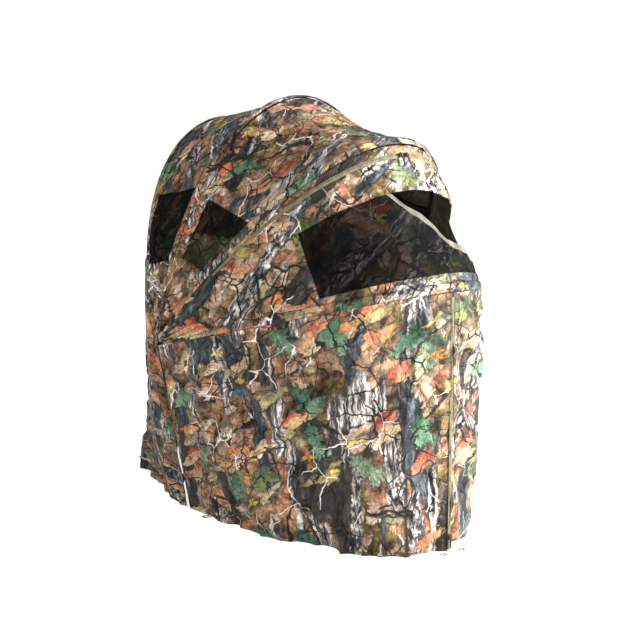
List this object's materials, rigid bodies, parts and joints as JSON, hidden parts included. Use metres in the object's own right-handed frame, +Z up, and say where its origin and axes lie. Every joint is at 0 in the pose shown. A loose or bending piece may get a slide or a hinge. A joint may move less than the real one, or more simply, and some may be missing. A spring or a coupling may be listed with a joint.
{
  "type": "pop up chair blind",
  "caption": "Camouflage ground blind: a hood of cloth over arched hoops that pivot on a folding chair, with mesh windows, a front zip and a skirt staked to the ground.",
  "frame": {"origin": "on the ground under the middle of the blind's outline", "axes": "+Z up, the zipped front faces -Y, and +X is to the right of someone who faces the front"},
  "size_m": [0.924, 1.5364, 1.3066],
  "materials": {
    "camo_cloth": "woven polyester, woodland leaf print, satin coating",
    "window_mesh": "open black mesh with a faint print",
    "sling_cloth": "heavy woven polyester",
    "zip_tape": "woven tape with nylon coil",
    "webbing": "woven webbing",
    "slider_metal": "black painted die casting",
    "pull_plastic": "moulded",
    "rubber": "moulded",
    "nylon": "moulded",
    "pin_steel": "zinc plated",
    "frame_steel": "powder coat, satin"
  },
  "bodies": {
    "chair": {"back_sling": "sling_cloth", "back_top_bar": "frame_steel", "back_tube_left": "frame_steel", "back_tube_right": "frame_steel", "foot_cap_front_left": "rubber", "foot_cap_front_right": "rubber", "hub_arm_left": "frame_steel", "hub_arm_right": "frame_steel", "hub_pin_left": "pin_steel", "hub_pin_right": "pin_steel", "hub_spacer_left_1": "nylon", "hub_spacer_left_2": "nylon", "hub_spacer_left_3": "nylon", "hub_spacer_right_1": "nylon", "hub_spacer_right_2": "nylon", "hub_spacer_right_3": "nylon", "rear_wall": "camo_cloth", "scissor_pin_left": "pin_steel", "scissor_pin_right": "pin_steel", "seat_rear_bar": "frame_steel", "seat_sling": "sling_cloth", "stake_loop_rear_left": "webbing", "stake_loop_rear_right": "webbing"},
    "leg_frame": {"leg_tube_left": "frame_steel", "leg_tube_right": "frame_steel", "seat_front_bar": "frame_steel", "leg_brace_bar": "frame_steel", "foot_cap_rear_left": "rubber", "foot_cap_rear_right": "rubber"},
    "rear_bow": {"rear_hoop": "frame_steel", "rear_sleeve": "camo_cloth", "rear_canopy": "camo_cloth", "rear_mesh_left": "window_mesh", "rear_mesh_right": "window_mesh"},
    "top_bow": {"top_hoop": "frame_steel", "top_sleeve": "camo_cloth", "roof_panel": "camo_cloth", "side_mesh_left": "window_mesh", "side_mesh_right": "window_mesh"},
    "brow_bow": {"brow_hoop": "frame_steel", "brow_sleeve": "camo_cloth", "front_panel": "camo_cloth", "front_mesh": "window_mesh", "brow_zip": "zip_tape"},
    "waist_bow": {"waist_hoop": "frame_steel", "waist_sleeve": "camo_cloth", "skirt_left": "camo_cloth", "skirt_right": "camo_cloth", "front_zip": "zip_tape", "stake_loop_front_left": "webbing", "stake_loop_front_right": "webbing", "stake_loop_side_left": "webbing", "stake_loop_side_right": "webbing"},
    "front_slider": {"front_slider": "slider_metal"},
    "front_pull": {"front_pull": "pull_plastic"},
    "brow_slider_left": {"brow_slider_left": "slider_metal"},
    "brow_slider_right": {"brow_slider_right": "slider_metal"},
    "brow_pull_left": {"brow_pull_left": "pull_plastic"},
    "brow_pull_right": {"brow_pull_right": "pull_plastic"}
  },
  "joints": [
    {"name": "chair_fold", "type": "hinge", "parent": "chair", "child": "leg_frame", "pos_m": [0, 0.06934, 0.23385], "axis": [-1, 0, 0], "range_deg": [0, 72], "deforming": ["seat_sling"]},
    {"name": "rear_bow_fold", "type": "hinge", "parent": "chair", "child": "rear_bow", "pos_m": [0, 0.08828, 0.541], "axis": [-1, 0, 0], "range_deg": [0, 54.3], "deforming": ["rear_wall"]},
    {"name": "top_bow_fold", "type": "hinge", "parent": "rear_bow", "child": "top_bow", "pos_m": [0, 0.08828, 0.541], "axis": [-1, 0, 0], "range_deg": [0, 27.5], "deforming": ["rear_canopy", "rear_mesh_left", "rear_mesh_right"]},
    {"name": "brow_bow_fold", "type": "hinge", "parent": "top_bow", "child": "brow_bow", "pos_m": [0, 0.08828, 0.541], "axis": [-1, 0, 0], "range_deg": [0, 29.9], "deforming": ["roof_panel", "side_mesh_left", "side_mesh_right"]},
    {"name": "waist_bow_fold", "type": "hinge", "parent": "brow_bow", "child": "waist_bow", "pos_m": [0, 0.08828, 0.541], "axis": [-1, 0, 0], "range_deg": [0, 22], "deforming": ["front_panel", "front_mesh", "brow_zip", "skirt_left", "skirt_right", "front_zip"]},
    {"name": "front_zip_slide", "type": "slide", "parent": "waist_bow", "child": "front_slider", "axis": [0, 0, 1], "range_m": [0, 0.66]},
    {"name": "front_pull_swing", "type": "hinge", "parent": "front_slider", "child": "front_pull", "pos_m": [0, -0.74828, 0.044], "axis": [-1, 0, 0], "range_deg": [0, 150]},
    {"name": "brow_zip_left", "type": "hinge", "parent": "brow_bow", "child": "brow_slider_left", "pos_m": [0, -0.34598, 0.96252], "axis": [0, -0.6965, -0.7176], "range_deg": [0, 25]},
    {"name": "brow_pull_left_swing", "type": "hinge", "parent": "brow_slider_left", "child": "brow_pull_left", "pos_m": [-0.01046, -0.5329, 1.13858], "axis": [-1, 0, 0], "range_deg": [0, 140]},
    {"name": "brow_zip_right", "type": "hinge", "parent": "brow_bow", "child": "brow_slider_right", "pos_m": [0, -0.34598, 0.96252], "axis": [0, 0.6965, 0.7176], "range_deg": [0, 25]},
    {"name": "brow_pull_right_swing", "type": "hinge", "parent": "brow_slider_right", "child": "brow_pull_right", "pos_m": [0.01046, -0.5329, 1.13858], "axis": [-1, 0, 0], "range_deg": [0, 140]}
  ]
}
